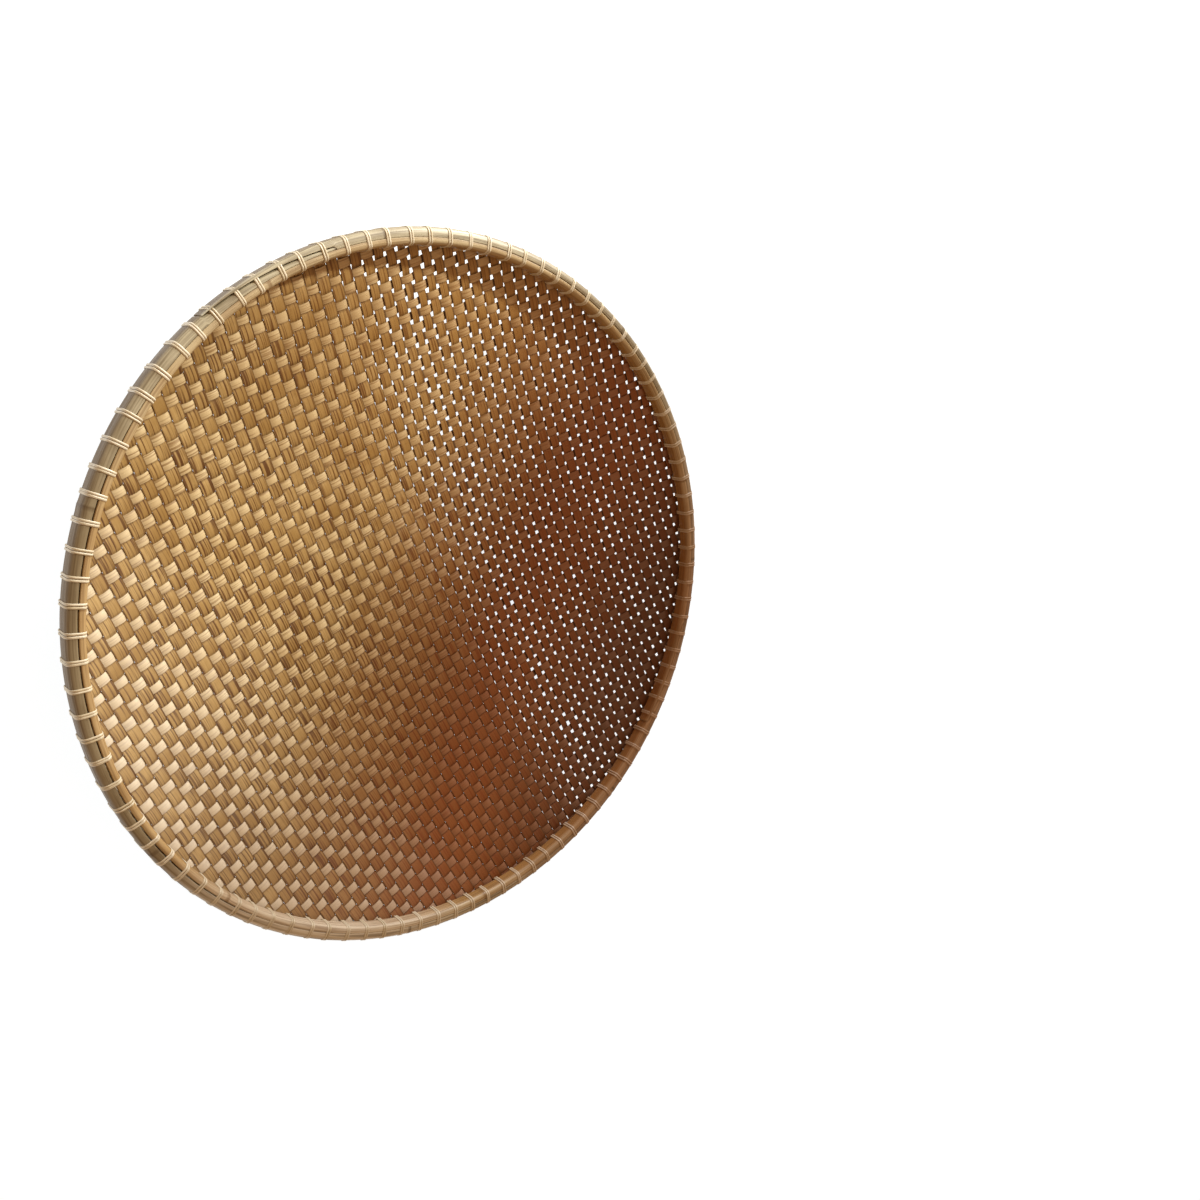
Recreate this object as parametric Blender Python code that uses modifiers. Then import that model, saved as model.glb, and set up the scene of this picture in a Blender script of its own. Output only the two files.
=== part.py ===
"""Winnowing basket: a shallow bowl woven from split bamboo, held between two bamboo hoops.

The basket rests on its flat bottom with its mouth up. The frame's origin is on the ground, on
the basket's axis, and +Z is up. All sizes are metres.

The mat is one plain solid here: a pressed flat bottom, a wall that curves up to the rim, and a
short upright edge between the hoops. Its wall has a slot at every lashing. Each hoop is a
bamboo strip bent to a ring, its two ends pared thin and lapped. Each binding cane goes twice
round both hoops and through the mat at a station, then along the outside to the next one.
"""
import math

import bmesh
import bpy
import numpy as np
from mathutils import Matrix

MM = 0.001

# rim
RIM_RADIUS = 298.8 * MM          # to the outer face of the outer hoop
RIM_TOP = 63.0 * MM              # top of both hoops above the ground
OUTER_HOOP_THICKNESS = 6.5 * MM
OUTER_HOOP_BOTTOM = 48.0 * MM
INNER_HOOP_THICKNESS = 4.5 * MM
INNER_HOOP_BOTTOM = 51.0 * MM
HOOP_EDGE = 1.5 * MM             # chamfer along a hoop's top corners
THIN_EDGE_SHARE = 0.3            # the chamfer is at most this share of a pared end's thickness
GAP = 0.3 * MM                   # left between touching pieces

# mat
MAT_THICKNESS = 1.8 * MM
FLAT_RADIUS = 60.0 * MM          # the pressed flat that the basket rests on
BOWL_RADIUS = 287.5 * MM         # where the curved wall ends, just under the inner hoop
BOWL_RISE = 45.6 * MM            # rise of the wall from the flat to there
BOWL_CURVE = 1.75                # power of the wall's curve: 1 is a cone, 2 a parabola
WALL_RINGS = 6
EDGE_RISE = 2.5 * MM             # from the end of the curve up to where the edge is upright
EDGE_SETBACK = 1.5 * MM          # the mat's cut edge is below the tops of the hoops

# lashing
STATIONS = 100                   # lashings round the rim
CANES = 20                       # lengths of cane that make them
TURNS = 2                        # turns of cane at each lashing
CANE_RADIUS = 0.9 * MM
CANE_PITCH = 2.15 * MM           # from one turn to the next
CANE_TAIL = 3.0 * MM             # free end before the first turn and after the last
CANE_DROP = 2.0 * MM             # a turn enters the mat this far under the inner hoop
SLOT_LENGTH = 14.0 * MM          # the mat's slot at a lashing, along the cane's way through it
SLOT_SPARE = 0.9 * MM            # the slot's width beyond the turns of cane in it
SLOT_SHARE = 0.33                # place of the slot's middle from the inside to the outside

# scarf joint of a hoop
LAP_STATIONS = 6                 # the two ends lie over each other for this many stations
OUTER_LAP_START = 74             # station where the outer hoop's inner end begins
INNER_LAP_START = 34
TIP_THICKNESS = 0.8 * MM

# finishes: linear colour and roughness
SPLIT_BAMBOO = ((0.45, 0.27, 0.10), 0.55)
HOOP_BAMBOO = ((0.42, 0.33, 0.20), 0.5)
RATTAN_PEEL = ((0.66, 0.58, 0.42), 0.45)
SHARP_ANGLE = math.radians(30)   # edges sharper than this aren't shaded smooth

STEP_ANGLE = 2 * math.pi / STATIONS
FACET = math.cos(STEP_ANGLE / 2)   # from a corner's radius to the middle of a flat facet

OUTER_HOOP_INSIDE = RIM_RADIUS - OUTER_HOOP_THICKNESS
MAT_OUTSIDE = OUTER_HOOP_INSIDE - GAP
MAT_INSIDE = MAT_OUTSIDE - MAT_THICKNESS
INNER_HOOP_OUTSIDE = MAT_INSIDE - GAP
INNER_HOOP_INSIDE = INNER_HOOP_OUTSIDE - INNER_HOOP_THICKNESS
CANE_CLEARANCE = CANE_RADIUS + GAP


def clear_scene():
    """Start from an empty scene."""
    for thing in list(bpy.data.objects):
        bpy.data.objects.remove(thing, do_unlink=True)


def new_collection(name):
    collection = bpy.data.collections.new(name)
    bpy.context.scene.collection.children.link(collection)
    return collection


def new_material(name, colour, roughness):
    """A Principled material with a plain linear colour."""
    material = bpy.data.materials.new(name)
    material.use_nodes = True
    shader = material.node_tree.nodes["Principled BSDF"]
    shader.inputs["Base Color"].default_value = (*colour, 1.0)
    shader.inputs["Roughness"].default_value = roughness
    shader.inputs["Metallic"].default_value = 0.0
    return material


def place(name, data, collection, material=None):
    """An object for this mesh or curve, in its collection, with its material."""
    thing = bpy.data.objects.new(name, data)
    collection.objects.link(thing)
    if material:
        data.materials.append(material)
    return thing


def wall_height(radius):
    """Height of the mat's underside: level out to FLAT_RADIUS, then a power curve."""
    run = np.clip((radius - FLAT_RADIUS) / (BOWL_RADIUS - FLAT_RADIUS), 0, 1)
    return BOWL_RISE * run ** BOWL_CURVE


def mat_profile():
    """The mat's section in the XZ plane: out along the inside, over the edge, down the outside."""
    radii = FLAT_RADIUS + (BOWL_RADIUS - FLAT_RADIUS) * np.linspace(0, 1, WALL_RINGS + 1)
    heights = wall_height(radii)
    slope = np.gradient(heights, radii)
    slope[0] = 0.0
    across = MAT_THICKNESS / np.sqrt(1 + slope ** 2)
    inside = np.stack([radii - slope * across, heights + across], axis=1)
    upright = BOWL_RISE + EDGE_RISE
    top = RIM_TOP - EDGE_SETBACK
    points = [(0.0, MAT_THICKNESS)]
    points += [tuple(point) for point in inside]
    points += [(MAT_INSIDE, upright + 0.5 * MAT_THICKNESS), (MAT_INSIDE, top)]
    points += [(MAT_OUTSIDE, top), (MAT_OUTSIDE, upright)]
    points += [tuple(point) for point in np.stack([radii, heights], axis=1)[::-1]]
    points += [(0.0, 0.0)]
    return points


def lashing_path():
    """One turn of cane round the rim in radius and height, from its low outer corner."""
    outside = RIM_RADIUS * FACET + CANE_CLEARANCE
    inside = INNER_HOOP_INSIDE * FACET - CANE_CLEARANCE
    above = RIM_TOP + CANE_CLEARANCE
    under_inner = INNER_HOOP_BOTTOM - CANE_DROP
    # the straight way out through the mat just clears the outer hoop's lower inside corner
    rise = OUTER_HOOP_BOTTOM - CANE_CLEARANCE - 2 * GAP - under_inner
    slope = rise / (OUTER_HOOP_INSIDE * FACET - inside)
    under_outer = under_inner + slope * (outside - inside)
    return [(outside, under_outer), (outside, above), (inside, above), (inside, under_inner)]


def make_slots(collection):
    """One box for each lashing, lying along the cane's way through the mat."""
    outside, _, _, inside = lashing_path()
    run = np.array(outside) - np.array(inside)
    tilt = math.atan2(-run[1], run[0])
    size = (SLOT_LENGTH, TURNS * CANE_PITCH + SLOT_SPARE, 2 * CANE_CLEARANCE + 2 * GAP)
    middle = np.array(inside) + SLOT_SHARE * run
    along = SLOT_SHARE * CANE_PITCH
    mesh = bpy.data.meshes.new("lashing_slots")
    shape = bmesh.new()
    for station in range(STATIONS):
        angle = (station + 0.5) * STEP_ANGLE
        turn = Matrix.Rotation(angle, 4, "Z")
        move = Matrix.Translation((middle[0], along, middle[1]))
        lean = Matrix.Rotation(tilt, 4, "Y")
        stretch = Matrix.Diagonal((*size, 1.0))
        bmesh.ops.create_cube(shape, size=1.0, matrix=turn @ move @ lean @ stretch)
    shape.to_mesh(mesh)
    shape.free()
    slots = place("lashing_slots", mesh, collection)
    slots.hide_render = True
    slots.display_type = "WIRE"
    return slots


def make_mat(collection, slots, material):
    """The woven mat as one turned bowl, with a slot through its wall at each lashing."""
    points = mat_profile()
    mesh = bpy.data.meshes.new("woven_mat")
    edges = [(i, i + 1) for i in range(len(points) - 1)]
    mesh.from_pydata([(r, 0.0, z) for r, z in points], edges, [])
    mat = place("woven_mat", mesh, collection, material)
    turned = mat.modifiers.new("Turned", "SCREW")
    turned.axis = "Z"
    turned.steps = STATIONS
    turned.render_steps = STATIONS
    turned.use_merge_vertices = True
    turned.merge_threshold = 0.00001
    turned.use_smooth_shade = True
    cut = mat.modifiers.new("Lashing slots", "BOOLEAN")
    cut.operation = "DIFFERENCE"
    cut.object = slots
    return mat


def hoop_section(inner, outer, bottom):
    """Six corners of a hoop's section, its two top corners taken off."""
    edge = min(HOOP_EDGE, THIN_EDGE_SHARE * (outer - inner))
    return [
        (inner, bottom), (outer, bottom), (outer, RIM_TOP - edge),
        (outer - edge, RIM_TOP), (inner + edge, RIM_TOP), (inner, RIM_TOP - edge),
    ]


def make_hoop(name, inner, thickness, bottom, first_station, collection, material):
    """A strip lofted once round the rim and on over its own first end.

    Along the lap the first end thickens outwards from its tip as the last end thins to its own
    tip outside it, with GAP between them, so the two ends together keep the hoop's thickness.
    """
    full = thickness - TIP_THICKNESS - GAP
    sections = []
    for i in range(STATIONS + LAP_STATIONS + 1):
        low, high = inner, inner + thickness
        if i <= LAP_STATIONS:
            high = inner + TIP_THICKNESS + (full - TIP_THICKNESS) * i / LAP_STATIONS
        if i >= STATIONS:
            share = (i - STATIONS) / LAP_STATIONS
            low = inner + TIP_THICKNESS + (full - TIP_THICKNESS) * share + GAP
        angle = (first_station + i) * STEP_ANGLE
        section = hoop_section(low, high, bottom)
        sections.append([(r * math.cos(angle), r * math.sin(angle), z) for r, z in section])
    corners = len(sections[0])
    shape = bmesh.new()
    rings = [[shape.verts.new(point) for point in section] for section in sections]
    for ring, following in zip(rings, rings[1:]):
        for j in range(corners):
            k = (j + 1) % corners
            shape.faces.new((ring[j], following[j], following[k], ring[k]))
    shape.faces.new(rings[0])
    shape.faces.new(rings[-1][::-1])
    bmesh.ops.recalc_face_normals(shape, faces=shape.faces)
    mesh = bpy.data.meshes.new(name)
    shape.to_mesh(mesh)
    shape.free()
    hoop = place(name, mesh, collection, material)
    mesh.shade_smooth()
    mesh.set_sharp_from_angle(angle=SHARP_ANGLE)
    return hoop


def cane_points(first_station, stations):
    """The way of one cane, as points in radius, height and distance along the rim."""
    turn = lashing_path()
    centre = (TURNS - 1) / 2 * CANE_PITCH
    points = []
    for station in range(first_station, first_station + stations):
        angle = (station + 0.5) * STEP_ANGLE
        outward = np.array([math.cos(angle), math.sin(angle), 0.0])
        forward = np.array([-math.sin(angle), math.cos(angle), 0.0])

        def at(corner, along):
            radius, height = corner
            return radius * outward + along * forward + np.array([0.0, 0.0, height])

        if station == first_station:
            points.append(at(turn[0], -centre - CANE_TAIL))
        for number in range(TURNS):
            points += [at(corner, number * CANE_PITCH - centre) for corner in turn]
        leave = TURNS * CANE_PITCH - centre
        points.append(at(turn[0], leave))
        if station == first_station + stations - 1:
            points.append(at(turn[0], leave + CANE_TAIL))
    return points


def make_cane(name, first_station, stations, collection, material):
    """A binding cane: a thin square tube with closed ends along its way round the rim."""
    points = cane_points(first_station, stations)
    curve = bpy.data.curves.new(name, "CURVE")
    curve.dimensions = "3D"
    curve.bevel_depth = CANE_RADIUS
    curve.bevel_resolution = 0
    curve.use_fill_caps = True
    spline = curve.splines.new("POLY")
    spline.points.add(len(points) - 1)
    spline.points.foreach_set("co", np.insert(np.array(points), 3, 1.0, axis=1).ravel())
    return place(name, curve, collection, material)


def main():
    clear_scene()
    basket = new_collection("winnowing_basket")
    cutters = new_collection("cutters")
    split_bamboo = new_material("split_bamboo", *SPLIT_BAMBOO)
    hoop_bamboo = new_material("hoop_bamboo", *HOOP_BAMBOO)
    rattan_peel = new_material("rattan_peel", *RATTAN_PEEL)

    make_mat(basket, make_slots(cutters), split_bamboo)
    make_hoop("outer_hoop", OUTER_HOOP_INSIDE, OUTER_HOOP_THICKNESS, OUTER_HOOP_BOTTOM,
              OUTER_LAP_START, basket, hoop_bamboo)
    make_hoop("inner_hoop", INNER_HOOP_INSIDE, INNER_HOOP_THICKNESS, INNER_HOOP_BOTTOM,
              INNER_LAP_START, basket, hoop_bamboo)
    each = STATIONS // CANES
    for number in range(CANES):
        make_cane(f"binding_cane_{number + 1:02d}", number * each, each, basket, rattan_peel)


main()
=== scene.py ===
# %% [markdown]
# # A winnowing basket
# Grain is tossed in this wide, shallow basket so that the wind carries the chaff away. It is
# three things: a mat woven from split bamboo, two bamboo hoops that clamp the mat's edge
# between them, and thin cane that lashes the hoops together through the mat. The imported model
# gives the size and place of each, and this script makes their real surfaces around it.

# %% Load the frame
import math

import bpy
import numpy as np
from mathutils import Matrix, Quaternion, Vector


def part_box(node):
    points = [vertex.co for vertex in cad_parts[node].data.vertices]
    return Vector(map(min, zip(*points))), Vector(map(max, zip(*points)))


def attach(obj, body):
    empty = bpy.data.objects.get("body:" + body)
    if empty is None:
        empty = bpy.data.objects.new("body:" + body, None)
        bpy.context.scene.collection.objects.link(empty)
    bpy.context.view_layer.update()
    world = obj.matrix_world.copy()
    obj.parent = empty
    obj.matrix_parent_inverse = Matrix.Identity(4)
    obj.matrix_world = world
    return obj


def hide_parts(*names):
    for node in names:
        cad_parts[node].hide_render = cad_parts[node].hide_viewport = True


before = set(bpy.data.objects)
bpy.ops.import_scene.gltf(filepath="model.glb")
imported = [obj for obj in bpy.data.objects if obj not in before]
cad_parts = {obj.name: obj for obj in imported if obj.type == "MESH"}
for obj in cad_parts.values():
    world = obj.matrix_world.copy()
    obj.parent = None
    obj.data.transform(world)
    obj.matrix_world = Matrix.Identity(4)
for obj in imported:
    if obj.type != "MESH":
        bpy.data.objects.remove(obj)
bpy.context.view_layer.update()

print("nodes in the frame:", len(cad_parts))

# %% [markdown]
# ## Sizes
# The frame gives the rim's radius and height, the undersides of the hoops and the height of
# the mat's cut edge. The rest are the sizes that a maker splits the bamboo to. Blender works
# in metres, so a millimetre is a name too, which keeps the numbers readable.

# %% Sizes of the rim and the bowl
MM = 0.001
rim_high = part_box("outer_hoop")[1]
RIM_RADIUS = rim_high.x
RIM_TOP = rim_high.z
OUTER_HOOP_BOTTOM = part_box("outer_hoop")[0].z
INNER_HOOP_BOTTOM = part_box("inner_hoop")[0].z
MAT_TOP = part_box("woven_mat")[1].z

OUTER_HOOP_THICKNESS = 6.5 * MM
INNER_HOOP_THICKNESS = 4.5 * MM
GAP = 0.3 * MM                    # left between the mat's edge and the hoops
MAT_THICKNESS = 1.8 * MM
EDGE_RADIUS = RIM_RADIUS - OUTER_HOOP_THICKNESS - GAP - MAT_THICKNESS / 2
INNER_HOOP_INSIDE = EDGE_RADIUS - MAT_THICKNESS / 2 - GAP - INNER_HOOP_THICKNESS

FLAT_RADIUS = 60 * MM             # the bowl is level out to here
BOWL_RADIUS = 287.5 * MM          # the curved wall ends here, just under the inner hoop
BOWL_RISE = 45.6 * MM
BOWL_CURVE = 1.75                 # power of the wall's curve
MAT_MIDDLE = 1.45 * MM            # the middle of the weave above the mat's underside
PITCH = 10.13 * MM                # from one strip to the next, both ways
print(f"rim {2 * RIM_RADIUS / MM:.1f} mm across, {RIM_TOP / MM:.1f} mm high")

# %% [markdown]
# ## Closed tubes
# Every piece here is a tube of some section carried along a path: a strip, a hoop or a strand
# of cane. A bevelled curve would make tubes too, but with one section all the way. A grid of
# points that is worked out as one array lets the section, the width and the height change
# along the way, so the tubes are built from grids. The faces are all four-sided.

# %% Faces of a tube


def tube_quads(sections, corners):
    """Quads of a closed tube, whose points are numbered section by section.

    A side quad joins corners j and j+1 of sections i and i+1. Each end is closed by quads
    between corner k and the opposite corner, so a section has an even number of corners.
    """
    i = np.arange(sections - 1)[:, None] * corners
    j = np.arange(corners)
    following = (j + 1) % corners
    sides = np.stack([i + j, i + following, i + corners + following, i + corners + j], -1)
    k = np.arange(corners // 2 - 1)
    cap = np.stack([k, corners - 1 - k, corners - 2 - k, k + 1], -1)
    last = (sections - 1) * corners
    return np.concatenate([sides.reshape(-1, 4), cap, cap[:, ::-1] + last])


def outward(points, quads):
    """The quads, turned round if the volume they enclose comes out negative.

    The volume is a sixth of the sum, over triangles, of the first corner times the cross
    product of the other two.
    """
    a, b, c, d = (points[quads[:, k]] for k in range(4))
    volume = np.einsum("ij,ij", a, np.cross(b, c)) + np.einsum("ij,ij", a, np.cross(c, d))
    return quads if volume > 0 else quads[:, ::-1]


print("a tube of 3 sections with 8 corners has", len(tube_quads(3, 8)), "quads")

# %% [markdown]
# ## From a grid to an object
# foreach_set hands a whole array to the mesh at once, which is far quicker than adding points
# one by one. The UV map holds the place along the piece and across it in metres, so that a
# pattern can follow a strip round its bends at its real size. Other numbers that a finish
# needs, such as how far over or under a strip is, go in as attributes of the points.

# %% One object from one grid
root = bpy.context.scene.collection


def tube_object(name, grid, along, across, values, sharp):
    """A closed tube from a grid of points, which is sections by corners by 3.

    along and across give each point's place on the UV map, in metres. values holds one number
    per point for each attribute. Edges sharper than the angle sharp, in degrees, stay crisp.
    """
    points = grid.reshape(-1, 3)
    quads = outward(points, tube_quads(*grid.shape[:2]))
    mesh = bpy.data.meshes.new(name)
    mesh.vertices.add(len(points))
    mesh.vertices.foreach_set("co", points.ravel())
    mesh.loops.add(quads.size)
    mesh.loops.foreach_set("vertex_index", quads.ravel())
    mesh.polygons.add(len(quads))
    mesh.polygons.foreach_set("loop_start", np.arange(0, quads.size, 4))
    mesh.update(calc_edges=True)
    flat = grid.shape[:2]
    uv = np.stack([np.broadcast_to(along, flat), np.broadcast_to(across, flat)], -1)
    mesh.uv_layers.new(name="strip").uv.foreach_set("vector", uv.reshape(-1, 2)[quads.ravel()].ravel())
    for label, numbers in values.items():
        layer = mesh.attributes.new(label, "FLOAT", "POINT")
        layer.data.foreach_set("value", np.broadcast_to(numbers, flat).ravel())
    mesh.shade_smooth()
    mesh.set_sharp_from_angle(angle=math.radians(sharp))
    thing = bpy.data.objects.new(name, mesh)
    root.objects.link(thing)
    return thing


print("tubes go into the collection", root.name)

# %% [markdown]
# ## The bowl's surface
# The mat is woven flat and then pressed into the hoops, so a strip keeps its length along the
# wall. The bowl is therefore a function of the flat mat: a point at distance s from the middle
# goes to the point that lies s along the bowl's curve, in the same direction. The curve is
# summed up once in small steps, and np.interp reads it back for whole arrays.

# %% The bowl as a function of the flat mat
STRIP_SETBACK = 1.3 * MM          # the strips are cut this far below the edge of the clamped mat
WALL_STEPS, ARC_STEPS = 600, 40


def bowl_profile():
    """Radius, height and steepness of the mat's middle, against distance along its curve.

    Height is the rise times the share of the run to a power. From the end of the wall an arc
    turns it upright, and it goes straight up to its cut edge.
    """
    radius = np.linspace(0, BOWL_RADIUS, WALL_STEPS)
    share = np.clip((radius - FLAT_RADIUS) / (BOWL_RADIUS - FLAT_RADIUS), 0, 1)
    height = MAT_MIDDLE + BOWL_RISE * share ** BOWL_CURVE
    steep = math.atan(BOWL_RISE * BOWL_CURVE / (BOWL_RADIUS - FLAT_RADIUS))
    bend = (EDGE_RADIUS - BOWL_RADIUS) / (1 - math.sin(steep))
    angle = np.linspace(steep, math.pi / 2, ARC_STEPS)[1:]
    arc_radius = BOWL_RADIUS + bend * (np.sin(angle) - math.sin(steep))
    arc_height = height[-1] + bend * (math.cos(steep) - np.cos(angle))
    radius = np.concatenate([radius, arc_radius, [EDGE_RADIUS]])
    height = np.concatenate([height, arc_height, [MAT_TOP - STRIP_SETBACK]])
    distance = np.concatenate([[0], np.cumsum(np.hypot(np.diff(radius), np.diff(height)))])
    rise, run = np.gradient(np.stack([height, radius]), distance, axis=1)
    return distance, radius, height, np.arctan2(rise, run)


DISTANCE, PROFILE_RADIUS, PROFILE_HEIGHT, STEEPNESS = bowl_profile()
MAT_REACH = DISTANCE[-1]


def on_bowl(u, v, lift):
    """The point at (u, v) of the flat mat, pressed into the bowl and raised by lift.

    With s the distance of (u, v) from the middle: radius and height are read from the profile
    at s, in the direction of (u, v), and lift goes along the normal, which leans inwards by
    the wall's steepness.
    """
    s = np.maximum(np.hypot(u, v), 1e-9)
    angle = np.interp(s, DISTANCE, STEEPNESS)
    radius = np.interp(s, DISTANCE, PROFILE_RADIUS) - lift * np.sin(angle)
    height = np.interp(s, DISTANCE, PROFILE_HEIGHT) + lift * np.cos(angle)
    return np.stack([radius * u / s, radius * v / s, height], -1)


print(f"the mat reaches {MAT_REACH / MM:.1f} mm from its middle, measured along the bowl")

# %% [markdown]
# ## One strip of the weave
# In a plain weave a strip goes over one and under one of the strips that cross it. A cosine
# with a period of two pitches does that: it is +1 at every second crossing and -1 at the
# others, and a strip's neighbour has it the other way round. Real strips are stiff and lie
# flat for a while at the top, so a tanh squares the wave off. A displaced sheet with a weave
# pattern would be lighter, but it would have no holes and no ends, so each strip is made.

# %% Shape of one strip
STRIP_THICKNESS = 1.0 * MM
FLAT_BEND, PILLOW_BEND = 0.5 * MM, 0.93 * MM       # height of the wave of each family
FLAT_STIFFNESS, PILLOW_STIFFNESS = 1.6, 0.65       # how much each is squared off
FLAT_CUP, PILLOW_CUP = 0.24, -0.12                 # rise of the edges, as a share of thickness
THINNING = 0.35                                    # share of the thickness lost at the edges
UNDER_WIDTH = 0.88                                 # the underside, as a share of the width
PLAY_SHARE, MOST_PLAY = 0.12, 0.25 * MM            # drift of a strip, as a share of its gap
DRIFT_RUN, WIDTH_RUN, TWIST_RUN = 160 * MM, 90 * MM, 60 * MM
TWIST = 0.04 * MM
CLAMP_DEPTH, CLAMPED_WAVE = 8 * MM, 0.5            # the hoops press the wave down to this share
STEPS_PER_PITCH, FEWEST_STEPS = 7, 8
rng = np.random.default_rng(58)

top = np.linspace(-1, 1, 5)
under = np.linspace(UNDER_WIDTH, -UNDER_WIDTH, 3)
ACROSS = np.concatenate([top, under])              # corners of the section, in half widths
THICK = np.concatenate([0 * top + 0.5, 0 * under - 0.5]) * (1 - THINNING * ACROSS ** 2)


def wander(t, size, wavelength):
    """A slow smooth drift along a strip: two sine waves with random phases, one half as high."""
    a, b = rng.uniform(0, 2 * math.pi, 2)
    first = np.sin(2 * math.pi * t / wavelength + a)
    return size * (first + 0.5 * np.sin(2 * math.pi * t / (0.37 * wavelength) + b))


def weave_strip(line, side, width, bend, stiffness, cup):
    """One strip as a grid of points round its section along its length.

    line is its place across the flat mat. The lift is side times bend times the squared-off
    cosine, plus the section's own height, which rises to the edges by cup times the square of
    the distance from the middle. The wave dies down where the hoops clamp the mat.
    Returns place across, place along, the lift, and the wave from -1 to 1.
    """
    cut = np.clip(line + ACROSS * width / 2, -MAT_REACH, MAT_REACH)
    reach = np.sqrt(MAT_REACH ** 2 - cut ** 2)
    count = max(int(2 * reach.mean() / PITCH * STEPS_PER_PITCH), FEWEST_STEPS)
    t = np.linspace(-1, 1, count)[:, None] * reach
    play = min(PLAY_SHARE * (PITCH - width), MOST_PLAY)
    middle = line + wander(t, play, DRIFT_RUN)
    half = width / 2 + wander(t, play, WIDTH_RUN)
    wave = side * np.tanh(stiffness * np.cos(math.pi * t / PITCH)) / math.tanh(stiffness)
    clamped = np.interp(np.hypot(middle, t), [BOWL_RADIUS, MAT_REACH - CLAMP_DEPTH], [1, CLAMPED_WAVE])
    section = (THICK + cup * ACROSS ** 2) * STRIP_THICKNESS + wander(t, TWIST, TWIST_RUN) * ACROSS
    return middle + ACROSS * half, t, clamped * bend * wave + section, wave


print("corners of a strip's section:", len(ACROSS))

# %% [markdown]
# ## Two families of strips
# The maker lays down one family and weaves the other through it. Here the strips along Y are
# wide and lie nearly flat, and the narrower ones along X do the bending and stand up as small
# pillows. No two strips are split to the same width. On the +X side the wide ones touch, so
# the mat is closed, and towards -X they get narrower and leave a hole at every corner.

# %% Weave the strips
WIDE, NARROW, PILLOW = 10.2 * MM, 8.2 * MM, 7.2 * MM
SQUEEZE = 0.08 * MM                               # wide strips are beaten this tight together
OPEN_FROM, OPEN_TO = -12 * MM, -80 * MM           # where the strips along Y grow narrow
EVEN, UNEVEN, WEFT_UNEVEN = 0.02 * MM, 0.55 * MM, 0.25 * MM
MOST_STRIPS = 30                                  # counted each way from the middle
EDGE_ROOM = 1.5 * MM                              # a strip nearer the mat's edge is left out
GRAIN_SHIFT = 5                                   # metres of stem that the strips are taken from


def warp_width(x):
    """Width of the strip along Y at x: wide up to OPEN_FROM, then narrower and less even."""
    share = np.clip((x - OPEN_FROM) / (OPEN_TO - OPEN_FROM), 0, 1)
    return WIDE + share * (NARROW - WIDE) + (EVEN + UNEVEN * share) * rng.normal()


def weft_width(y):
    """Width of the strip along X, the same all over but for the splitting knife."""
    return PILLOW + WEFT_UNEVEN * rng.normal()


def weave_family(name, along_y, bend, stiffness, cup, width_at):
    """All strips of one direction, each an object of its own."""
    made = []
    for number in range(-MOST_STRIPS, MOST_STRIPS + 1):
        line = number * PITCH
        width = min(width_at(line), PITCH + SQUEEZE)
        if abs(line) + width / 2 > MAT_REACH - EDGE_ROOM:
            continue
        side = 1 - 2 * (number % 2) if along_y else 2 * (number % 2) - 1
        across, t, lift, wave = weave_strip(line, side, width, bend, stiffness, cup)
        grid = on_bowl(across, t, lift) if along_y else on_bowl(t, across, lift)
        values = {"tone": rng.uniform(), "over": wave, "edge": np.abs(ACROSS)}
        made.append(tube_object(f"{name}_{len(made) + 1:02d}", grid,
                                t + rng.uniform(0, GRAIN_SHIFT), ACROSS * width / 2, values, sharp=50))
    return made


warp = weave_family("warp_strip", True, FLAT_BEND, FLAT_STIFFNESS, FLAT_CUP, warp_width)
weft = weave_family("weft_strip", False, PILLOW_BEND, PILLOW_STIFFNESS, PILLOW_CUP, weft_width)
faces = sum(len(s.data.polygons) for s in warp + weft)
print(f"{len(warp)} strips along Y and {len(weft)} along X, {2 * faces} triangles")

# %% [markdown]
# ## The section of a hoop
# A hoop is a strip of bamboo, bent green to a ring. Its far side is rounded by the knife, and
# its top leans over the mat's cut edge, so that the two hoops together look like one round
# band. Where they have dried apart, a dark groove stands open between them. So the section
# can't be one fixed outline: its corners are quarter ellipses whose sizes change round the
# ring.

# %% Section of a hoop
CROWN_RUN, CROWN_DROP = 0.74, 4.8 * MM      # rounded top: share of the thickness, and depth
LIP, LIP_DEPTH = 1.12 * MM, 1.2 * MM        # how far and how deep a top leans over the mat
LIP_ROOT = 2.6 * MM                         # the lip has run out this far below the top
EDGE_ROUND, GROOVE_ROUND = 0.35 * MM, 1.9 * MM
FOOT_ROUND = 1.3 * MM
MOST_ROUND = 0.4                            # largest foot or edge, as a share of the thickness


def quarter(centre, level, run, drop, k, count=6):
    """A quarter of an ellipse from k quarter turns on: the centre plus run times the cosine
    across, and the level plus drop times the sine up."""
    a = np.linspace(0, math.pi / 2, count) + k * math.pi / 2
    return centre + run * np.cos(a), level + drop * np.sin(a)


def hoop_section(thick, bottom, lip, groove):
    """Corners of the section: distance from the mat's side, and height, for every step.

    It starts under the lip, where no one sees the seam of the UV map, and goes down, round
    the foot, up the far side and over the top.
    """
    foot = np.minimum(FOOT_ROUND, MOST_ROUND * thick)
    edge = np.minimum(EDGE_ROUND + groove * (GROOVE_ROUND - EDGE_ROUND), MOST_ROUND * thick)
    flat = np.zeros_like(thick)
    pieces = [(flat - lip, flat + RIM_TOP - LIP_DEPTH - edge), (flat, flat + RIM_TOP - LIP_ROOT - edge),
              quarter(foot, bottom + foot, foot, foot, 2, 4),
              quarter(thick - foot, bottom + foot, foot, foot, 3),
              quarter((1 - CROWN_RUN) * thick, RIM_TOP - CROWN_DROP, CROWN_RUN * thick,
                      flat + CROWN_DROP, 0),
              quarter(edge - lip, RIM_TOP - edge, edge, edge, 1)]
    return np.hstack([p[0] for p in pieces]), np.hstack([p[1] for p in pieces])


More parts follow.
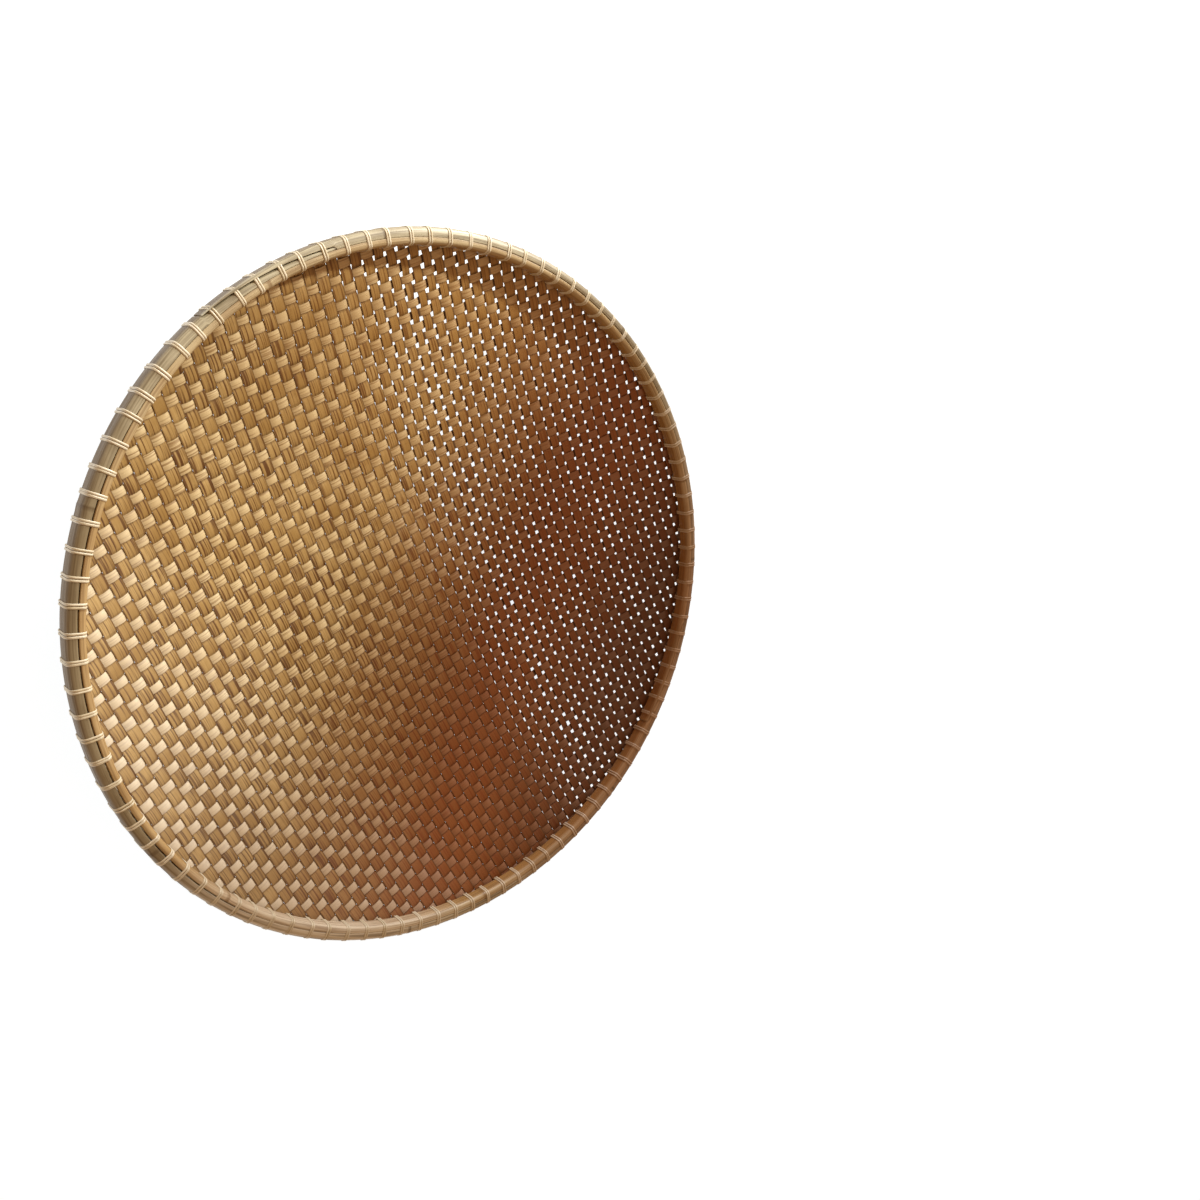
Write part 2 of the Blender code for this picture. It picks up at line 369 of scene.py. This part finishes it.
print("corners of a hoop's section:", hoop_section(np.full((1, 1), 0.006), 0.05, 0, 0)[0].size)

# %% [markdown]
# ## Bending the hoops
# A torus would close on itself, but a real hoop is a strip with two ends, pared thin and
# lapped. So the section is carried once round and on over its own first end: on the lap the
# first end thickens outwards while the last end thins away outside it. Bamboo is also jointed,
# and a joint leaves a low ring every hand or so along the strip.

# %% Bend the hoops
LAP = math.radians(21.6)
TIP = 0.8 * MM                                     # thickness of a pared end
OUTER_LAP_START, INNER_LAP_START = math.radians(266.4), math.radians(122.4)
GROOVES = ((345, 46, 0.26), (213, 30, 0.3))        # middle and half width in degrees, openness
GROOVE_FADE = 0.2                                  # how gently a groove closes, as a cosine
JOINT_SPACING, JOINT_HEIGHT, JOINT_WIDTH = 262 * MM, 0.35 * MM, 2.2 * MM
HOOP_SECTIONS = 960


def open_groove(angle):
    """How far the groove stands open at each angle, from 0 to 1: one smooth hump per entry."""
    humps = [share * np.clip((np.cos(angle - math.radians(middle))
                              - math.cos(math.radians(width))) / GROOVE_FADE, 0, 1)
             for middle, width, share in GROOVES]
    return np.maximum(*humps)


def bend_hoop(name, inside, thickness, bottom, start, mat_is_inside):
    """One hoop, with a section every 2 mm or so, once round and over the lap."""
    turn = np.linspace(0, 2 * math.pi + LAP, HOOP_SECTIONS)[:, None]
    first, last = np.clip(turn / LAP, 0, 1), np.clip((turn - 2 * math.pi) / LAP, 0, 1)
    full = thickness - TIP - GAP
    grown = TIP + first * (full - TIP)
    low = np.where(turn > 2 * math.pi, inside + TIP + last * (full - TIP) + GAP, inside)
    high = np.where(turn < LAP, inside + grown, inside + thickness)
    beside_mat = turn <= 2 * math.pi if mat_is_inside else turn >= LAP
    groove = open_groove(turn + start)
    lip = np.where(beside_mat, LIP * (1 - groove), 0)
    away, height = hoop_section(high - low, bottom, lip, groove)
    along = turn * (inside + thickness)
    to_joint = np.abs((along + JOINT_SPACING / 2) % JOINT_SPACING - JOINT_SPACING / 2)
    joint = np.exp(-(to_joint / JOINT_WIDTH) ** 2)
    away = away + JOINT_HEIGHT * joint * (away > 0.5 * (high - low))
    radius = low + away if mat_is_inside else high - away
    grid = np.stack([radius * np.cos(turn + start), radius * np.sin(turn + start), height], -1)
    step = np.hypot(np.diff(away, axis=1), np.diff(height, axis=1))
    girth = np.hstack([np.zeros_like(turn), np.cumsum(step, axis=1)])
    crown = np.clip((height - RIM_TOP + CROWN_DROP) / CROWN_DROP, 0, 1)
    return tube_object(name, grid, along, girth, {"crown": crown, "joint": joint, "dry": groove},
                       sharp=60)


outer_hoop = bend_hoop("outer_hoop_bar", RIM_RADIUS - OUTER_HOOP_THICKNESS,
                       OUTER_HOOP_THICKNESS, OUTER_HOOP_BOTTOM, OUTER_LAP_START, True)
inner_hoop = bend_hoop("inner_hoop_bar", INNER_HOOP_INSIDE, INNER_HOOP_THICKNESS,
                       INNER_HOOP_BOTTOM, INNER_LAP_START, False)
print("quads of each hoop:", len(outer_hoop.data.polygons), len(inner_hoop.data.polygons))

# %% [markdown]
# ## The path of a lashing
# Twenty lengths of split cane bind the rim at a hundred places. At each one the cane goes
# twice round both hoops and dives through the mat under the inner hoop, then it runs on below
# the outer hoop to the next place. It is pulled tight, so its path is the outline of the band
# itself, set off by the little that the strand's middle stands clear.

# %% One turn round the band
STATIONS, CANES, TURNS = 100, 20, 2
CANE_WIDTH, CANE_THICKNESS = 1.75 * MM, 0.56 * MM
CANE_SEAT = 0.2 * MM                               # the strand's middle above the band
CANE_DROP, CANE_TURN = 1.9 * MM, 1.3 * MM          # below a hoop's foot, and radius of its bends


def lashing_loop():
    """Points of one turn in radius and height: four quarter ellipses, from below outside."""
    outer_run = CROWN_RUN * OUTER_HOOP_THICKNESS
    inner_run = CROWN_RUN * INNER_HOOP_THICKNESS
    outside, inside = RIM_RADIUS + CANE_SEAT, INNER_HOOP_INSIDE - CANE_SEAT
    corners = [
        (outside - CANE_TURN, OUTER_HOOP_BOTTOM - CANE_DROP + CANE_TURN, CANE_TURN, CANE_TURN, 3),
        (RIM_RADIUS - outer_run, RIM_TOP - CROWN_DROP, outer_run + CANE_SEAT,
         CROWN_DROP + CANE_SEAT, 0),
        (INNER_HOOP_INSIDE + inner_run, RIM_TOP - CROWN_DROP, inner_run + CANE_SEAT,
         CROWN_DROP + CANE_SEAT, 1),
        (inside + CANE_TURN, INNER_HOOP_BOTTOM - CANE_DROP + CANE_TURN, CANE_TURN, CANE_TURN, 2)]
    return np.concatenate([np.stack(quarter(*corner), -1) for corner in corners])


LOOP = lashing_loop()
BAND_MIDDLE = np.array([(RIM_RADIUS + INNER_HOOP_INSIDE) / 2, (RIM_TOP + OUTER_HOOP_BOTTOM) / 2])
print(f"one turn of cane has {len(LOOP)} points")

# %% [markdown]
# ## Lashing the rim
# A strand of split cane is flat inside and round outside, and it keeps its flat side to the
# hoops. So at each point of the path three directions are worked out: ahead along the cane,
# out from the band, and sideways at right angles to both. The section is laid in the last
# two. No two lashings are quite alike: they sit a little off their marks, on a slant, and the
# two turns lie close together or a little apart.

# %% Lash the rim
OFF_MARK, OFF_SQUARE = 0.7 * MM, 0.5 * MM          # usual error of place and of slant
CLOSEST, WIDEST = 1.75 * MM, 2.3 * MM              # between the middles of the two turns
CANE_CORNERS = 8
ROUND_SIDE, FLAT_SIDE = 1.3, 0.7                   # the half-round section, as shares of half


def round_the_rim(flat, angle):
    """Points or directions in radius and height, turned to their angles round the rim."""
    return np.stack([flat[:, 0] * np.cos(angle), flat[:, 0] * np.sin(angle), flat[:, 1]], -1)


def lash_cane(name, first_station, stations):
    """One cane: its path, then its half-round section set across the path at each point."""
    path, outs = [], []
    slant = np.linspace(-0.5, 0.5, len(LOOP))
    for station in range(first_station, first_station + stations):
        mark = (station + 0.5) * 2 * math.pi / STATIONS + rng.normal(0, OFF_MARK) / RIM_RADIUS
        skew, spacing = rng.normal(0, OFF_SQUARE), rng.uniform(CLOSEST, WIDEST)
        for turn in range(TURNS):
            angle = mark + ((turn - 0.5) * spacing + skew * slant) / RIM_RADIUS
            path.append(round_the_rim(LOOP, angle))
            outs.append(round_the_rim(LOOP - BAND_MIDDLE, angle))
    path, outs = np.concatenate(path), np.concatenate(outs)
    ahead = np.gradient(path, axis=0)
    ahead /= np.linalg.norm(ahead, axis=1, keepdims=True)
    side = np.cross(ahead, outs)
    side /= np.linalg.norm(side, axis=1, keepdims=True)
    out = np.cross(side, ahead)
    a = np.linspace(0, 2 * math.pi, CANE_CORNERS, endpoint=False)
    across = CANE_WIDTH / 2 * np.cos(a)
    rise = CANE_THICKNESS / 2 * np.where(np.sin(a) > 0, ROUND_SIDE, FLAT_SIDE) * np.sin(a)
    grid = path[:, None] + side[:, None] * across[:, None] + out[:, None] * rise[:, None]
    step = np.linalg.norm(np.diff(path, axis=0), axis=1)
    along = np.concatenate([[0], np.cumsum(step)])[:, None]
    return tube_object(name, grid, along, across, {"tone": rng.uniform()}, sharp=80)


each = STATIONS // CANES
canes = [lash_cane(f"cane_{n + 1:02d}", n * each, each) for n in range(CANES)]
print(len(canes), "canes, each of", len(canes[0].data.polygons), "quads")

# %% [markdown]
# ## Helpers for finishes
# Colours are written as the hex values that a paint program shows, and the renderer wants
# them linear, so one function converts them. A second sets the sockets of a node, and a third
# adds a node and uses the second for its inputs. Each material below is then a short recipe
# that reads from top to bottom.

# %% Colours and nodes


def linear(code):
    """Linear red, green, blue and alpha of an sRGB hex colour."""
    srgb = np.array([int(code[k:k + 2], 16) for k in (1, 3, 5)]) / 255
    low, high = srgb / 12.92, ((srgb + 0.055) / 1.055) ** 2.4
    return (*np.where(srgb <= 0.04045, low, high), 1.0)


def plug(tree, node, inputs):
    """Set sockets of a node: to a number, to a hex colour, or linked from a socket or a node.

    A name means the first socket of that name which the node's settings switch on, and a
    number means the socket at that place. A linked node gives its first output that is on.
    """
    for name, value in inputs.items():
        socket = (node.inputs[name] if isinstance(name, int)
                  else next(s for s in node.inputs if s.enabled and s.name == name))
        if isinstance(value, bpy.types.Node):
            value = next(s for s in value.outputs if s.enabled)
        if isinstance(value, bpy.types.NodeSocket):
            tree.links.new(value, socket)
        else:
            socket.default_value = linear(value) if isinstance(value, str) else value


def add(tree, kind, inputs=None, **settings):
    """A new shader node with its settings, values and links."""
    node = tree.nodes.new("ShaderNode" + kind)
    for name, value in settings.items():
        setattr(node, name, value)
    plug(tree, node, inputs or {})
    return node


def new_material(name, constants):
    """A material, its node tree, and its Principled shader with the plain sockets set."""
    material = bpy.data.materials.new(name)
    material.use_nodes = True
    shader = material.node_tree.nodes["Principled BSDF"]
    plug(material.node_tree, shader, constants)
    return material, material.node_tree, shader


print("#808080 is linear", round(linear("#808080")[0], 3))

# %% [markdown]
# ## Split bamboo
# The strips are split from the stem and scraped, and never varnished. What the eye sees is
# grain: bundles of dark fibre that run the whole length of a strip, in a honey ground that
# differs from strip to strip. A noise texture stretched along the strip's own UV map draws
# it, where a wood texture would cut straight through the bends. Where a strip dives under the
# next, its colour is darkened as painted shade, and its edges are darker than its face, partly
# the colour of the cut and partly painted shade of the gap beside them. The colour also
# drifts across the whole basket: one side of the bowl is painted red brown, and near black
# towards its rim, which is painted shade; one side is painted paler, most on the skin strips,
# which is a painted highlight standing in for their sheen; and the side across from the pale
# one is a more orange honey. Object coordinates, turned by a Mapping node, say how far
# towards each side a point is. The fibres are about 0.3 mm apart in life, which is too fine to
# show, so the strongest are drawn 1.6 mm apart and the fine ones 0.8 mm.

# %% The bamboo of the strips
CELLULOSE_IOR = 1.53
LONG_FIBRE, FIBRE_SPACING, FINE_SPACING = 60 * MM, 1.6 * MM, 0.8 * MM
STRIP_CLOUDS = 26.0                                # per metre: patches about 38 mm across
# the sides towards which shade and pale light are painted, as angles round the basket
SHADED_SIDE, PALE_SIDE, HOOP_LIT_SIDE = math.radians(130), math.radians(12), math.radians(40)
# colours of the painted pale light, the painted shade and its near black edge, and an orange honey
PAINTED_PALE, SHADE_BROWN, SHADE_BLACK, HONEY = "#E6DCC8", "#8E4A1C", "#361E12", "#B07A30"
# painted shade where a strip dives, and the edge colour, partly cut and partly painted shade
DIVE_SHADE, CUT_EDGE_AND_SHADE = "#4A2B14", "#5A3A1C"


def towards(tree, place, side):
    """How far a point lies towards one side of the basket: its X once that side is turned to X."""
    turned = add(tree, "Mapping", {"Vector": place, "Rotation": (0, 0, -side)})
    return add(tree, "SeparateXYZ", {"Vector": turned}).outputs["X"]


def split_bamboo(name, ground, deep, line, rough, gloss, dive_shade, edges, pale_light_share):
    """Split bamboo: ground and deep are the palest and deepest strips, line its dark fibres.

    gloss is the specular level, and more than 0.5 stands for the wax of the stem's own skin.
    The dive and edge shares say how dark it is where it dives, which is painted shade, and at its
    edges, which is partly the colour of the cut and partly painted shade. The pale share says how
    pale it is painted towards one side, which is a painted highlight. The index is that of bare
    cellulose, and the long fibres smear a highlight across themselves, so the reflection is
    anisotropic.
    """
    material, tree, shader = new_material(name, {"IOR": CELLULOSE_IOR, "Specular IOR Level": gloss,
                                                 "Anisotropic": 0.5, "Anisotropic Rotation": 0.25})
    uv = add(tree, "UVMap", uv_map="strip")
    place = add(tree, "TexCoord").outputs["Object"]
    tone, over, edge = (add(tree, "Attribute", attribute_name=n).outputs["Fac"]
                        for n in ("tone", "over", "edge"))
    coarse = add(tree, "Mapping", {"Vector": uv, "Scale": (1 / LONG_FIBRE, 1 / FIBRE_SPACING, 1)})
    fine = add(tree, "Mapping", {"Vector": uv, "Scale": (3 / LONG_FIBRE, 1 / FINE_SPACING, 1)})
    bundles = add(tree, "TexNoise", {"Vector": coarse, "Scale": 1.0, "Detail": 3.0})
    fibres = add(tree, "TexNoise", {"Vector": fine, "Scale": 1.0, "Detail": 2.0})
    clouds = add(tree, "TexNoise", {"Vector": place, "Scale": STRIP_CLOUDS, "Detail": 3.0})
    toward_shade, toward_pale_light = towards(tree, place, SHADED_SIDE), towards(tree, place, PALE_SIDE)

    deeper = add(tree, "MapRange", {"Value": clouds, "From Min": 0.42, "From Max": 0.68})
    own = add(tree, "MapRange", {"Value": tone, "To Max": 0.6})
    streak = add(tree, "MapRange", {"Value": fibres, "From Min": 0.62, "From Max": 0.38, "To Max": 0.6})
    dark = add(tree, "MapRange", {"Value": bundles, "From Min": 0.5, "From Max": 0.38, "To Max": 0.95})
    # painted shade where the strip dives under the next
    painted_dive_shade = add(tree, "MapRange", {"Value": over, "From Min": 0.15, "From Max": -0.3, "To Max": dive_shade})
    # darker edges: partly the colour of the cut, partly painted shade of the gap beside them
    cut = add(tree, "MapRange", {"Value": edge, "From Min": 0.75, "From Max": 1.0, "To Max": edges})
    # painted shade: red brown on the shaded side of the bowl
    painted_shade = add(tree, "MapRange", {"Value": toward_shade, "From Min": -0.06, "From Max": 0.1,
                                    "To Max": 0.87})
    # painted shade: near black towards the rim on the shaded side
    painted_rim_shade = add(tree, "MapRange", {"Value": toward_shade, "From Min": 0.14, "From Max": 0.25,
                                   "To Max": 0.62})
    # painted highlight: paler towards one side, standing in for the skin's sheen
    painted_pale_light = add(tree, "MapRange", {"Value": toward_pale_light, "From Min": 0.12, "From Max": 0.27,
                                      "To Max": pale_light_share})
    honey = add(tree, "MapRange", {"Value": toward_pale_light, "From Min": 0.04, "From Max": -0.2, "To Max": 0.5})
    layers = ((own, deep), (deeper, deep), (streak, deep), (dark, line), (honey, HONEY),
              (painted_shade, SHADE_BROWN), (painted_rim_shade, SHADE_BLACK), (painted_pale_light, PAINTED_PALE), (painted_dive_shade, DIVE_SHADE), (cut, CUT_EDGE_AND_SHADE))
    colour = ground
    for share, other in layers:
        colour = add(tree, "Mix", {"Factor": share, "A": colour, "B": other}, data_type="RGBA")
    bump = add(tree, "Bump", {"Strength": 0.6, "Distance": 0.25 * MM, "Height": bundles})
    polish = add(tree, "MapRange", {"Value": bundles, "From Min": 0.35, "From Max": 0.6,
                                    "To Min": rough + 0.15, "To Max": rough})
    plug(tree, shader, {"Base Color": colour, "Roughness": polish, "Normal": bump,
                        "Tangent": add(tree, "Tangent", direction_type="UV_MAP", uv_map="strip")})
    return material


warp_bamboo = split_bamboo("split_bamboo_core", "#C6A870", "#A07E46", "#5E3A18", 0.5,
                           gloss=0.5, dive_shade=0.3, edges=0.9, pale_light_share=0.1)
# the skin strips' ground is paler than the core's, partly their own colour and partly a painted sheen
weft_bamboo = split_bamboo("split_bamboo_skin", "#E4D2A6", "#CFB684", "#A08050", 0.37,
                           gloss=0.9, dive_shade=0.9, edges=0.15, pale_light_share=0.8)
for strips, finish in ((warp, warp_bamboo), (weft, weft_bamboo)):
    for strip in strips:
        strip.data.materials.append(finish)
print("finishes of the strips:", warp_bamboo.name, weft_bamboo.name)

# %% [markdown]
# ## Weathered bamboo
# The hoops are thicker, and hands have handled them. Their tops are paler than their sides,
# partly rubbed pale and partly painted light from above, and their sides keep more of the old
# brown, with long grey streaks and a dark line at each joint. The attributes made with the hoop
# say where its top and its joints are, and where the hoops have dried apart; there the groove
# is painted darker, which is painted shade. The hoops carry the same painted shade as the
# strips on the shaded side, and are painted paler at the rim where the light falls, which is
# painted light.

# %% The bamboo of the hoops
HOOP_CLOUDS = 30.0                                 # per metre: patches about 33 mm across
RIM_SHADE_REACH = {"From Min": 0.13, "From Max": 0.27}   # metres towards the shaded side, where shade is painted


def weathered_bamboo(name, top_colour, side_colour, streak_colour):
    """A bamboo bar with grain along its length, pale on top and darker on its sides, partly from wear
    and partly painted light and shade.
    """
    material, tree, shader = new_material(name, {"IOR": CELLULOSE_IOR})
    uv = add(tree, "UVMap", uv_map="strip")
    place = add(tree, "TexCoord").outputs["Object"]
    crown, joint, dry = (add(tree, "Attribute", attribute_name=n).outputs["Fac"]
                         for n in ("crown", "joint", "dry"))
    stretched = add(tree, "Mapping", {"Vector": uv, "Scale": (1 / LONG_FIBRE, 1 / FIBRE_SPACING, 1)})
    streaks = add(tree, "TexNoise", {"Vector": stretched, "Scale": 1.0, "Detail": 5.0})
    clouds = add(tree, "TexNoise", {"Vector": place, "Scale": HOOP_CLOUDS, "Detail": 4.0})

    # the top is paler: partly rubbed wear, partly painted light from above
    rubbed_and_lit_top = add(tree, "MapRange", {"Value": crown, "From Min": 0.1, "From Max": 0.8})
    grey = add(tree, "MapRange", {"Value": streaks, "From Min": 0.55, "From Max": 0.38, "To Max": 0.55})
    worn = add(tree, "MapRange", {"Value": clouds, "From Min": 0.45, "From Max": 0.7, "To Max": 0.45})
    ring = add(tree, "MapRange", {"Value": joint, "From Min": 0.4, "From Max": 1.0, "To Max": 0.8})
    # painted shade in the open groove between the hoops
    groove_shade = add(tree, "MapRange", {"Value": dry, "From Max": 0.25, "To Max": 0.65})
    toward_shade = towards(tree, place, SHADED_SIDE)
    # painted shade on the shaded side
    painted_shade = add(tree, "MapRange", {"Value": toward_shade, **RIM_SHADE_REACH, "To Max": 0.6})
    # painted light: paler at the rim where the light falls
    painted_pale_light = add(tree, "MapRange", {"Value": towards(tree, place, HOOP_LIT_SIDE),
                                      "From Min": 0.25, "From Max": 0.29, "To Max": 0.8})
    layers = ((rubbed_and_lit_top, top_colour), (worn, side_colour), (groove_shade, side_colour), (painted_shade, SHADE_BROWN),
              (painted_pale_light, PAINTED_PALE), (grey, streak_colour), (ring, streak_colour))
    colour = side_colour
    for share, other in layers:
        colour = add(tree, "Mix", {"Factor": share, "A": colour, "B": other}, data_type="RGBA")
    bump = add(tree, "Bump", {"Strength": 0.5, "Distance": 0.3 * MM, "Height": streaks})
    polish = add(tree, "MapRange", {"Value": streaks, "From Min": 0.35, "From Max": 0.6,
                                    "To Min": 0.6, "To Max": 0.42})
    plug(tree, shader, {"Base Color": colour, "Roughness": polish, "Normal": bump})
    return material


outer_bamboo = weathered_bamboo("weathered_bamboo_outer", "#C4BCA0", "#745E38", "#5C482A")
inner_bamboo = weathered_bamboo("weathered_bamboo_inner", "#CDBC96", "#AC8850", "#7E5C34")
outer_hoop.data.materials.append(outer_bamboo)
inner_hoop.data.materials.append(inner_bamboo)
print("finishes of the hoops:", outer_bamboo.name, inner_bamboo.name)

# %% [markdown]
# ## Cane peel
# The lashing is the outer skin of rattan, split thin. It is the palest thing on the basket,
# smooth and a little glossy, with fine lines along it. It differs from cane to cane, which the
# tone of each one gives, and on the shaded side it is darkened with the same painted shade as
# the hoops.

# %% The peel of the lashings
LINE_LENGTH, LINE_SPACING = 25 * MM, 0.5 * MM


def cane_peel(name, pale, deep):
    """Rattan peel: fine lines along the strand, between two pale colours."""
    material, tree, shader = new_material(name, {"IOR": CELLULOSE_IOR})
    uv = add(tree, "UVMap", uv_map="strip")
    place = add(tree, "TexCoord").outputs["Object"]
    tone = add(tree, "Attribute", attribute_name="tone").outputs["Fac"]
    stretched = add(tree, "Mapping", {"Vector": uv, "Scale": (1 / LINE_LENGTH, 1 / LINE_SPACING, 1)})
    lines = add(tree, "TexNoise", {"Vector": stretched, "Scale": 1.0, "Detail": 3.0})
    share = add(tree, "MapRange", {"Value": lines, "From Min": 0.6, "From Max": 0.35})
    own = add(tree, "MapRange", {"Value": tone, "To Max": 0.5})
    toward_shade = towards(tree, place, SHADED_SIDE)
    # painted shade on the shaded side
    painted_shade = add(tree, "MapRange", {"Value": toward_shade, **RIM_SHADE_REACH, "To Max": 0.55})
    colour = pale
    for part, other in ((share, deep), (own, deep), (painted_shade, SHADE_BROWN)):
        colour = add(tree, "Mix", {"Factor": part, "A": colour, "B": other}, data_type="RGBA")
    polish = add(tree, "MapRange", {"Value": lines, "To Min": 0.55, "To Max": 0.3})
    plug(tree, shader, {"Base Color": colour, "Roughness": polish})
    return material


peel = cane_peel("rattan_peel", "#ECE5D2", "#C0B08C")
for cane in canes:
    cane.data.materials.append(peel)
print("finish of the canes:", peel.name)

# %% [markdown]
# ## Tying the pieces to the frame
# Nothing on a basket moves, so every piece rides on the one body. The strips together stand
# for the mat's plain solid, and each hoop and cane stands for its own. The plain solids are
# hidden, but they keep doing the work of mass and contact.

# %% Ride and replace
for strip in warp + weft:
    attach(strip, "root")
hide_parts("woven_mat")
for hoop, node in ((outer_hoop, "outer_hoop"), (inner_hoop, "inner_hoop")):
    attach(hoop, "root")
    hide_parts(node)
for number, cane in enumerate(canes):
    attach(cane, "root")
    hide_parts(f"binding_cane_{number + 1:02d}")
print("pieces tied to the frame:", len(warp + weft + canes) + 2)

# %% [markdown]
# ## The floor
# The basket lies on white paper that fills the view. Paper lit only by lamps goes grey away
# from them, so this one also glows a little, as a light table does. The glow is a touch blue,
# which the room's warm light makes up to white, so the basket's own shadow is a cool grey.

# %% Floor
FLOOR_HALF = 6.0
corners = FLOOR_HALF * np.array([(-1, -1, 0), (1, -1, 0), (1, 1, 0), (-1, 1, 0)])
floor_mesh = bpy.data.meshes.new("floor")
floor_mesh.from_pydata(corners.tolist(), [], [(0, 1, 2, 3)])
floor = bpy.data.objects.new("floor", floor_mesh)
root.objects.link(floor)
paper = new_material("white_paper", {"Base Color": "#A6A6A6", "Roughness": 0.9,
                                     "Specular IOR Level": 0.1, "Emission Color": "#EEF4F8",
                                     "Emission Strength": 1.0})[0]
floor_mesh.materials.append(paper)
print("the floor is", 2 * FLOOR_HALF, "m wide")

# %% [markdown]
# ## The room
# The room gives a soft, warm light from everywhere, which is what fills the shaded half of the
# bowl. A room that looked as warm as its light would tint the view, so its wall is plain and
# pale: the Light Path node tells the rays that come from the camera from the rest.

# %% Room
world = bpy.data.worlds.new("studio")
bpy.context.scene.world = world
world.use_nodes = True
room = world.node_tree
warm = add(room, "Background", {"Color": (1, 0.64, 0.38, 1), "Strength": 0.45})
wall = add(room, "Background", {"Color": "#F4F4F2"})
seen = add(room, "LightPath").outputs["Is Camera Ray"]
either = add(room, "MixShader", {0: seen, 1: warm, 2: wall})
plug(room, room.nodes["World Output"], {"Surface": either})
print("the room's light has the colour", [round(c, 2) for c in warm.inputs["Color"].default_value[:3]])

# %% [markdown]
# ## Lamps
# A lamp or a camera is easiest to place from what it looks at: so far away, in that direction,
# so high. One function turns those numbers into its place and turn. The window is a spot lamp
# that stands to one side and lights only part of the bowl. Its light comes in slantwise, so
# each strip throws a shadow on the one beside it, and that raking light is what makes the
# weave stand up. The doorway is a weaker lamp, so low that the near rim shades half of the
# bowl from it, and its light falls on the wall across.

# %% Window and doorway


def stand_back(aim, distance, azimuth, rise, roll=0.0):
    """Matrix of a lamp or a camera that looks at aim. The angles are in degrees.

    It stands in the direction that is the cosine of the rise times the flat direction, plus
    the sine of the rise upwards. roll then turns it about its own line of sight.
    """
    azimuth, rise = math.radians(azimuth), math.radians(rise)
    flat_way = Vector((math.cos(azimuth), math.sin(azimuth), 0))
    way = math.cos(rise) * flat_way + math.sin(rise) * Vector((0, 0, 1))
    turn = way.to_track_quat("Z", "Y") @ Quaternion((0, 0, 1), math.radians(roll))
    return Matrix.LocRotScale(Vector(aim) + distance * way, turn, None)


WINDOW_DISTANCE, WINDOW_REACH = 2.6, 0.37
window_light = bpy.data.lights.new("window", "SPOT")
window_light.energy = 268
window_light.color = (1, 0.99, 0.91)
window_light.spot_size = 2 * math.atan(WINDOW_REACH / WINDOW_DISTANCE)
window_light.spot_blend = 0.4
window_light.shadow_soft_size = 0.1
window = bpy.data.objects.new("window", window_light)
root.objects.link(window)
window.matrix_world = stand_back((0.14, -0.33, 0), WINDOW_DISTANCE, azimuth=195, rise=34)

doorway_light = bpy.data.lights.new("doorway", "AREA")
doorway_light.energy = 48
doorway_light.size = 0.5
doorway = bpy.data.objects.new("doorway", doorway_light)
root.objects.link(doorway)
doorway.matrix_world = stand_back((0, 0, 0), 2.5, azimuth=212, rise=11)
print("the lamps stand at", *([round(c, 2) for c in lamp.location] for lamp in (window, doorway)))

# %% [markdown]
# ## Camera
# The camera looks down into the bowl from one side and is rolled over, so that the basket
# seems to stand on its edge. It aims beside the basket's middle, which puts the basket a
# little to one side of the picture.

# %% Camera
camera_data = bpy.data.cameras.new("camera")
camera_data.lens = 30.03
camera_data.clip_start = 0.01
camera = bpy.data.objects.new("camera", camera_data)
root.objects.link(camera)
camera.matrix_world = stand_back((-0.1879, 0.1261, 0), 1.0455, azimuth=-43.07, rise=46.26,
                                 roll=106.14)
bpy.context.scene.camera = camera
bpy.context.scene.view_settings.view_transform = "Standard"
print("the camera stands", round(camera.location.length, 2), "m from the middle")
